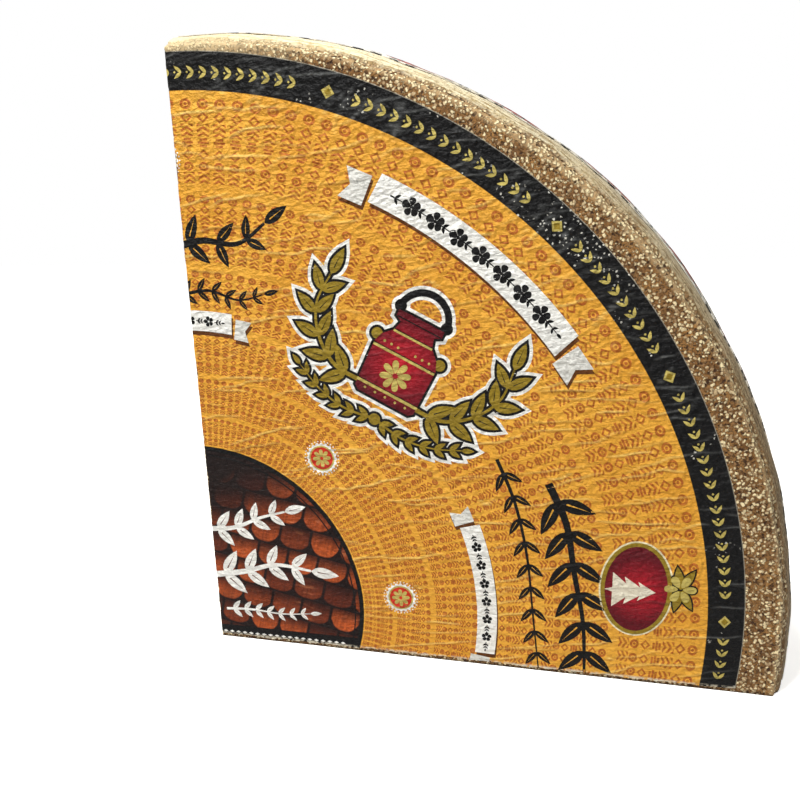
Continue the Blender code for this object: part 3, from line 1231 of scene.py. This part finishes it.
def disc_colour(f, across, up, radius, slow):
    """The disc in the middle: shingles that darken upwards, in a black rim with a thin line."""
    shade = up - across * 0.55 + slow * 0.03
    disc = f.blend(f.between(shade, 0.030, 0.085), shingles(f, across, up), srgb(30, 20, 19))
    disc = f.blend(f.between(up, -0.0192, -0.0188, 1.0, 0.0), disc, BLACK)
    disc = f.blend(f.between(abs(radius - 0.0901), 0.0003, 0.0005, 1.0, 0.0), disc, BLACK)
    return f.blend(f.between(radius, 0.0926, 0.0928), disc, BLACK)


def label_finish():
    f = Finish("printed face paper")
    across, up = f.from_label()
    radius, angle = f.away(across, up), f.turn(up, across)
    crest_highlight, slow = f.attribute("crest_highlight"), f.noise(f.place, 22, 3)
    field, ring = field_colour(f, radius, angle, slow, crest_highlight), ring_colour(f, angle, crest_highlight)
    colour = f.blend(f.between(radius, RING_INNER - 0.0001, RING_INNER + 0.0001), field, ring)
    disc = disc_colour(f, across, up, radius, slow)
    colour = f.blend(f.between(radius, DISC_RADIUS - 0.0001, DISC_RADIUS + 0.0001), disc, colour)
    torn = f.between(up, -0.025, -0.0236, 1.0, 0.0) * f.between(f.noise(f.place, 330, 4), 0.38, 0.52)
    edge = f.most(f.between(radius, LABEL_RADIUS - 0.0005, LABEL_RADIUS - 0.0002, 0.0, 0.5), torn)
    colour = f.blend(edge, colour, srgb(214, 204, 182))
    return f.done(colour, PAPER_ROUGHNESS, paper_normal(f), PAPER_SPECULAR)


def band_finish():
    """White paper round the heel, printed with rows of dark marks and dark red lozenges."""
    f = Finish("printed heel paper")
    across, depth, up = f.from_axis(BAND_DEPTH)
    arc = f.turn(up, across) * EDGE_RADIUS
    width = THICKNESS - 2 * BAND_DEPTH
    rows = (
        (0.0080, 0.0520, 0.0120, "dash", srgb(150, 44, 36)),
        (0.0011, 0.0092, 0.0020, "dash", BLACK),
        (0.0080, 0.0113, 0.0110, "bars", BLACK),
        (0.0205, 0.0170, 0.0110, "lozenge", DARK_RED),
        (0.0300, 0.0085, 0.0060, "chevrons", BLACK),
        (width / 2, 0.0300, 0.0230, "ring", DARK_RED),
        (width - 0.0290, 0.0085, 0.0060, "chevrons", BLACK),
        (width - 0.0150, 0.0170, 0.0130, "lozenge", DARK_RED),
        (width - 0.0075, 0.0105, 0.0030, "bars", BLACK),
        (width - 0.0030, 0.0076, 0.0036, "dash", BLACK),
    )
    colour = f.blend(f.between(f.noise(f.place, 40, 4), 0.3, 0.7), srgb(214, 208, 192), srgb(236, 232, 220))
    colour = f.blend(f.between(f.noise(f.place, 13, 3), 0.5, 0.75), colour, srgb(206, 186, 146))
    wear_and_highlight = f.between(f.noise(f.place, 420, 3), 0.28, 0.5, 0.25, 1.0)
    for middle, pitch, tall, kind, shade in rows:
        p = (f.fract((arc + 2.0) / pitch) - 0.5) * 2.5
        q = (depth - middle) / (tall / 2)
        colour = f.blend(mark_shape(f, kind, p, q) * wear_and_highlight, colour, shade)
    return f.done(colour, 0.55, f.bump(f.noise(f.place, 500, 4), 0.0007, 0.4))


# What is printed on the face, in mm and degrees from the label's middle

INK_COLOURS = {
    "white": srgb(245, 244, 238),
    "shaded white": srgb(226, 225, 218),
    "black": BLACK,
    "gold": srgb(196, 178, 96),
    "olive gold": srgb(150, 126, 36),
    "scarlet": srgb(200, 50, 30),
    "shadow": srgb(96, 54, 18),
    "yellow": YELLOW,
    "cream": srgb(236, 226, 190),
    "tree": srgb(232, 224, 202),
    "brown": srgb(96, 44, 28),
}
BRIGHT_RED = srgb(186, 26, 42)

# Ribbons: inner and outer radius, first and last angle. Their flowers: radius, angles, count and size
RIBBONS = ((249.5, 264.5, 65.0, 37.2), (161.5, 172.5, 97.0, 80.5), (161.5, 172.5, 20.2, -7.0))
RIBBON_TAIL_DEG = 3.6
RIBBON_SHADOW_MM = (0.7, -2.2)
RIBBON_FLOWERS = ((257, 62.5, 39.5, 15, 4.6), (167, 18.5, -6, 13, 2.8), (167, 95.5, 82.5, 7, 2.8))

RING_MIDDLE = 290.3
RING_LOZENGES_DEG = (72.5, 47.1, 29.3, 2.7, 98.0, -14.0)
RING_LEAF_STEP_DEG = 1.33

# Sprigs: path, width of the stem, length of a leaf and its slimness, pairs, spread, shrinking to the tip
BLACK_SPRIGS = (
    ([(198, 84), (208, 62), (213, 35), (219, 5), (221, -26)], 4.2, 21, 0.38, 6, 48, 0.1),
    ([(171, 96), (181, 72), (188, 42), (192, 8), (196, -26)], 2.0, 11.5, 0.34, 9, 42, 0.1),
    ([(-4, 205), (14, 209), (34, 207), (50, 217)], 4.2, 17, 0.40, 3, 55),
    ([(-4, 180), (15, 183), (32, 178), (47, 181)], 2.0, 9.5, 0.36, 6, 48),
)
DISC_SPRIGS = (
    ([(0, 44), (18, 46), (34, 53), (50, 58)], 3.2, 15, 0.40, 4, 50),
    ([(0, 14), (22, 18), (42, 24), (64, 22)], 4.2, 19, 0.40, 4, 50),
    ([(8, -8), (26, -7), (44, -8), (62, -6)], 1.6, 8.0, 0.38, 7, 46),
)
DISC_LOZENGES = 19

# The emblem: a milk churn between two leafy branches over two ears of wheat
EMBLEM_PLACE = (121, 146)
EMBLEM_TURN_DEG = -27
BRANCH = ([(17, -19), (32, -18), (46, -8), (54, 7), (53, 24)], 2.4, 16.5, 0.40, 5, 44, 0.2)
WHEAT = ([(-1, -34), (17, -37), (34, -34), (49, -27)], 1.5, 7.6, 0.40, 6, 34, 0.1)
CHURN_SIDE = (
    (0, -24), (15, -24), (17.5, -22), (18, 4), (16, 9), (11, 14), (9.5, 19), (13, 21), (13, 24.5), (0, 24.5),
)
CHURN_BANDS = ((18.0, -17.6, -19.2), (17.9, 3.2, 1.8), (11.2, 14.2, 13.0))
CHURN_RIM = (12.6, 21.4, 20.8)
BAND_LINE_ABOVE = 0.45
RIVETS = [(x, 6.3) for x in (-13, -9, -5, 5, 9, 13)] + [(x, -21) for x in (-12, -6, 0, 6, 12)]

SEALS = tuple((rounded(angle, 118), angle) for angle in (50.9, 5.0)) + (((-4, 249), 0),)
SEAL_RADII = (8.2, 7.3, 6.4)
SEAL_LAYERS = (
    ("seal_white", "white"),
    ("seal_gold", "gold"),
    ("seal_scarlet", "scarlet"),
    ("seal_flower", "gold"),
)

BADGE_MIDDLE = (245, 28)
BADGE_HALVES = (18.0, 26.5)
TREE_LINE = 27
TREE_SIDE = ((229, 0), (233, 1.3), (233, 10), (240, 4), (239, 8), (247, 2.5), (246, 5.5), (255, 0))
BADGE_FLOWER = (267, 30)
BADGE_LEAVES_DEG = (60, 100, -60, -100)


def ribbon(inner, outer, start, end):
    """(front, tails) of a paper ribbon that follows the rings."""
    drop = (outer - inner) * 0.20
    tails = []
    for angle, way in ((start, 1), (end, -1)):
        near, far = angle + way * 0.55, angle + way * RIBBON_TAIL_DEG
        notch = rounded(angle + way * RIBBON_TAIL_DEG * 0.72, (inner + outer) / 2 - drop)
        tails.append([rounded(near, outer - drop), rounded(far, outer - drop), notch,
                      rounded(far, inner - drop), rounded(near, inner - drop)])
    return arc_bar((0, 0), inner, outer, start, end, 0.35, max(4, round(abs(end - start)))), tails


def ribbon_flowers(radius, start, end, count, size):
    """Flowers and small sprigs in turn along a ribbon."""
    outlines = []
    for i in range(count):
        angle = start + (end - start) * (i + 0.5) / count
        if i % 2:
            outlines += flower_outlines(5, size, rounded(angle, radius), angle + 90, 0.36)
        else:
            ends = [rounded(angle + size * 0.25, radius), rounded(angle - size * 0.25, radius)]
            outlines += sprig(ends, size * 0.18, size * 0.85, 0.42, 2, 48)[0]
    return outlines


def print_ribbons(sheet, inks):
    fronts, tails = [], []
    for sizes in RIBBONS:
        front, two_tails = ribbon(*sizes)
        fronts.append(front)
        tails += two_tails
    shadows = [placed(o, RIBBON_SHADOW_MM) for o in fronts + tails]
    flowers = [o for row in RIBBON_FLOWERS for o in ribbon_flowers(*row)]
    stamp("ribbon_shadows", sheet, shadows, 1, inks["shadow"])
    stamp("ribbon_tails", sheet, tails, 2, inks["shaded white"])
    stamp("ribbon_fronts", sheet, fronts, 3, inks["white"])
    stamp("ribbon_leaves", sheet, flowers, 4, inks["black"])


def on_ring(outline, angle, lean=0):
    return placed(outline, rounded(angle, RING_MIDDLE), angle + 90 + lean)


def print_garland(sheet, inks):
    """Leaves in pairs along the black ring, and lozenges with an olive heart."""
    outlines = [on_ring(lozenge_outline(3.5, 3.1), angle) for angle in RING_LOZENGES_DEG]
    hearts = [on_ring(lozenge_outline(2.0, 1.8), angle) for angle in RING_LOZENGES_DEG]
    angle = -4.0
    while angle < 91.5:
        if min(abs(angle - lozenge) for lozenge in RING_LOZENGES_DEG) > 2.3:
            outlines += [on_ring(leaf_outline(5.0, 1.7), angle, lean) for lean in (36, -36)]
            outlines.append(disc_outline(0.55, rounded(angle + RING_LEAF_STEP_DEG * 0.55, RING_MIDDLE), 10))
        angle += RING_LEAF_STEP_DEG
    stamp("ring_garland", sheet, outlines, 1, inks["gold"])
    stamp("ring_lozenge_hearts", sheet, hearts, 2, inks["olive gold"])


def print_black_sprigs(sheet, inks):
    leaves, ribs = sprigs(BLACK_SPRIGS)
    stamp("black_sprigs", sheet, leaves, 1, inks["black"])
    stamp("black_sprig_ribs", sheet, ribs, 2, inks["yellow"])


def both_ways(path, *sizes):
    """A sprig and the same one mirrored."""
    return (path, *sizes), ([(-x, y) for x, y in path], *sizes)


def print_emblem(sheet, inks):
    def press(name, outlines, layer, finish):
        stamp(name, sheet, [placed(o, EMBLEM_PLACE, EMBLEM_TURN_DEG) for o in outlines], layer, finish)

    churn = list(CHURN_SIDE) + [(-x, y) for x, y in CHURN_SIDE[-2:0:-1]]
    (branches, branch_ribs), (wheat, wheat_ribs) = sprigs(both_ways(*BRANCH)), sprigs(both_ways(*WHEAT))
    bail = [arc_bar((0, 25), 13.0, 14.0, 8, 172)] + [disc_outline(1.9, (x, 26.5), 16) for x in (13.2, -13.2)]
    knobs = [disc_outline(3.0, (x, 8), 20) for x in (18.3, -18.3)] + [disc_outline(3.2, (0, -34.6), 20)]
    everything = [churn] + branches + wheat + bail + knobs
    press("emblem_white", [grown(o, 3.0) for o in everything], 1, inks["white"])
    press("emblem_black", [grown(o, 1.3) for o in everything], 2, inks["black"])
    press("emblem_olive", branches + wheat + knobs, 3, inks["olive gold"])
    press("emblem_ribs", branch_ribs + wheat_ribs, 4, inks["black"])
    red = ink("glowing red print", srgb(98, 18, 30), (EMBLEM_PLACE, 24, BRIGHT_RED))
    press("emblem_churn", [churn], 4, red)
    bands = [bar_outline(*band) for band in CHURN_BANDS]
    rivets = [disc_outline(0.7, place, 12) for place in RIVETS]
    press("emblem_flower", bands + rivets + flower_outlines(8, 8.5, (0, -8), 22.5, 0.2), 5, inks["gold"])
    lines = [bar_outline(half, top + BAND_LINE_ABOVE, top) for half, top, _low in CHURN_BANDS]
    press("emblem_lines", lines + [bar_outline(*CHURN_RIM)], 6, inks["black"])


def seal(middle, turn):
    """(white, gold, scarlet, flower) outlines of a small round seal."""
    white, gold, scarlet = [disc_outline(radius, middle, 40) for radius in SEAL_RADII]
    dots = [disc_outline(0.42, placed([(9.7, 0)], middle, 360 * i / 32)[0], 8) for i in range(32)]
    scallops = [disc_outline(0.9, placed([(8.1, 0)], middle, 360 * i / 20)[0], 10) for i in range(20)]
    return dots + scallops + [white], [gold], [scarlet], flower_outlines(8, 5.2, middle, turn, 0.2)


def print_seals(sheet, inks):
    seals = [seal(middle, turn) for middle, turn in SEALS]
    for row, (name, colour) in enumerate(SEAL_LAYERS):
        stamp(name, sheet, [o for one in seals for o in one[row]], row + 1, inks[colour])


def print_badge(sheet, inks):
    """The oval badge with a fir tree on its side, and a flower between leaves at its end."""
    oval = oval_outline(BADGE_HALVES, BADGE_MIDDLE, 60)
    tree = [(x, TREE_LINE + y) for x, y in TREE_SIDE] + [(x, TREE_LINE - y) for x, y in TREE_SIDE[-2:0:-1]]
    flower = flower_outlines(6, 8.0, BADGE_FLOWER, 0, 0.24)
    leaves = [placed(leaf_outline(13, 4.6), BADGE_FLOWER, turn) for turn in BADGE_LEAVES_DEG]
    red = ink("badge red print", srgb(98, 16, 28), ((247, 27), 19, BRIGHT_RED))
    stamp("badge_cream", sheet, [grown(oval, 0.9)], 1, inks["cream"])
    stamp("badge_black", sheet, [grown(o, 0.8) for o in flower + leaves], 2, inks["black"])
    stamp("badge_ring", sheet, [oval], 3, inks["olive gold"])
    stamp("badge_red", sheet, [grown(oval, -2.1)], 4, red)
    stamp("badge_tree", sheet, [tree], 5, inks["tree"])
    stamp("badge_leaves", sheet, leaves, 4, inks["olive gold"])
    stamp("badge_flower", sheet, flower, 5, inks["gold"])


def print_disc(sheet, inks):
    leaves, ribs = sprigs(DISC_SPRIGS)
    lozenges = [placed(lozenge_outline(1.5, 0.8), (6 + 4.2 * i, -23.4)) for i in range(DISC_LOZENGES)]
    stamp("disc_leaves", sheet, leaves + lozenges, 1, inks["white"])
    stamp("disc_leaf_ribs", sheet, ribs, 2, inks["brown"])


def make_prints(sheet):
    inks = {name: ink(name + " print", colour) for name, colour in INK_COLOURS.items()}
    print_ribbons(sheet, inks)
    print_garland(sheet, inks)
    print_black_sprigs(sheet, inks)
    print_emblem(sheet, inks)
    print_seals(sheet, inks)
    print_badge(sheet, inks)
    print_disc(sheet, inks)


# Camera, from the photograph: fitted to the label's rings and the two cuts
CAMERA_FROM_LABEL = Vector((0.21047, -0.37577, 0.21733))
CAMERA_RIGHT = Vector((0.973065, 0.229495, -0.021839))
CAMERA_DOWN = Vector((0.044645, -0.280537, -0.958804))
CAMERA_FORWARD = Vector((-0.226167, 0.932004, -0.283226))
LENS_MM = 33.91
SHIFT_Y = 0.0527


def make_camera():
    data = bpy.data.cameras.new("camera")
    data.lens = LENS_MM
    data.sensor_width = 36.0
    data.shift_y = SHIFT_Y
    data.clip_start = 0.01
    camera = bpy.data.objects.new("camera", data)
    bpy.context.scene.collection.objects.link(camera)
    turn = Matrix((CAMERA_RIGHT, -CAMERA_DOWN, -CAMERA_FORWARD)).transposed()
    place = Vector((LABEL_X, LABEL_LOW.y, LABEL_Z)) + CAMERA_FROM_LABEL
    camera.matrix_world = Matrix.Translation(place) @ turn.to_4x4()
    bpy.context.scene.camera = camera


def area_light(name, place, aim, size, power, colour=(1.0, 1.0, 1.0)):
    data = bpy.data.lights.new(name, "AREA")
    data.shape = "DISK"
    data.size = size
    data.energy = power
    data.color = colour
    light = bpy.data.objects.new(name, data)
    bpy.context.scene.collection.objects.link(light)
    light.location = place
    light.rotation_euler = (Vector(aim) - Vector(place)).to_track_quat("-Z", "Y").to_euler()


def make_stage():
    floor = add(bpy.ops.mesh.primitive_plane_add, size=8.0)
    floor.name = "floor"
    f = Finish("pale floor")
    shade = f.blend(f.noise(f.place, 3, 2), srgb(232, 231, 228), srgb(238, 237, 235))
    seen = f.nodes.new("ShaderNodeLightPath").outputs["Is Camera Ray"]
    f.put(f.shader.inputs["Emission Color"], shade)
    x, y, _z = f.axes(f.place)
    f.put(f.shader.inputs["Emission Strength"], seen * f.between(f.away(x, y), 0.5, 2.2, 0.92, 1.25))
    floor.data.materials.append(f.done(shade, 0.7))
    middle = (0.0, 0.0, 0.16)
    area_light("key", (-0.36, -0.54, 1.46), middle, 0.26, 29.5, (1.0, 0.99, 0.97))
    area_light("front", (-0.5, -1.7, 0.6), middle, 1.4, 1.2)
    area_light("back", (-0.8, 1.5, 1.2), middle, 1.4, 9.0)
    world = bpy.data.worlds.new("world")
    world.use_nodes = True
    nodes, links = world.node_tree.nodes, world.node_tree.links
    backdrop = nodes.new("ShaderNodeMapRange")
    backdrop.inputs["To Min"].default_value = 0.17
    backdrop.inputs["To Max"].default_value = 1.0
    links.new(nodes.new("ShaderNodeLightPath").outputs["Is Camera Ray"], backdrop.inputs["Value"])
    nodes["Background"].inputs["Color"].default_value = (1.0, 1.0, 1.0, 1.0)
    links.new(backdrop.outputs[0], nodes["Background"].inputs["Strength"])
    bpy.context.scene.world = world
    bpy.context.scene.view_settings.view_transform = "Standard"


def main():
    make_camera()
    make_stage()
    rind, paste = rind_finish(), paste_finish()
    make_front_rind(rind, paste)
    make_back_rind(rind, paste)
    make_paste(paste)
    make_band(band_finish())
    sheet = make_sheet()
    make_prints(sheet)
    keep_folds(sheet)
    dress(sheet, label_finish())
    finish_piece(sheet, "face_label")


main()
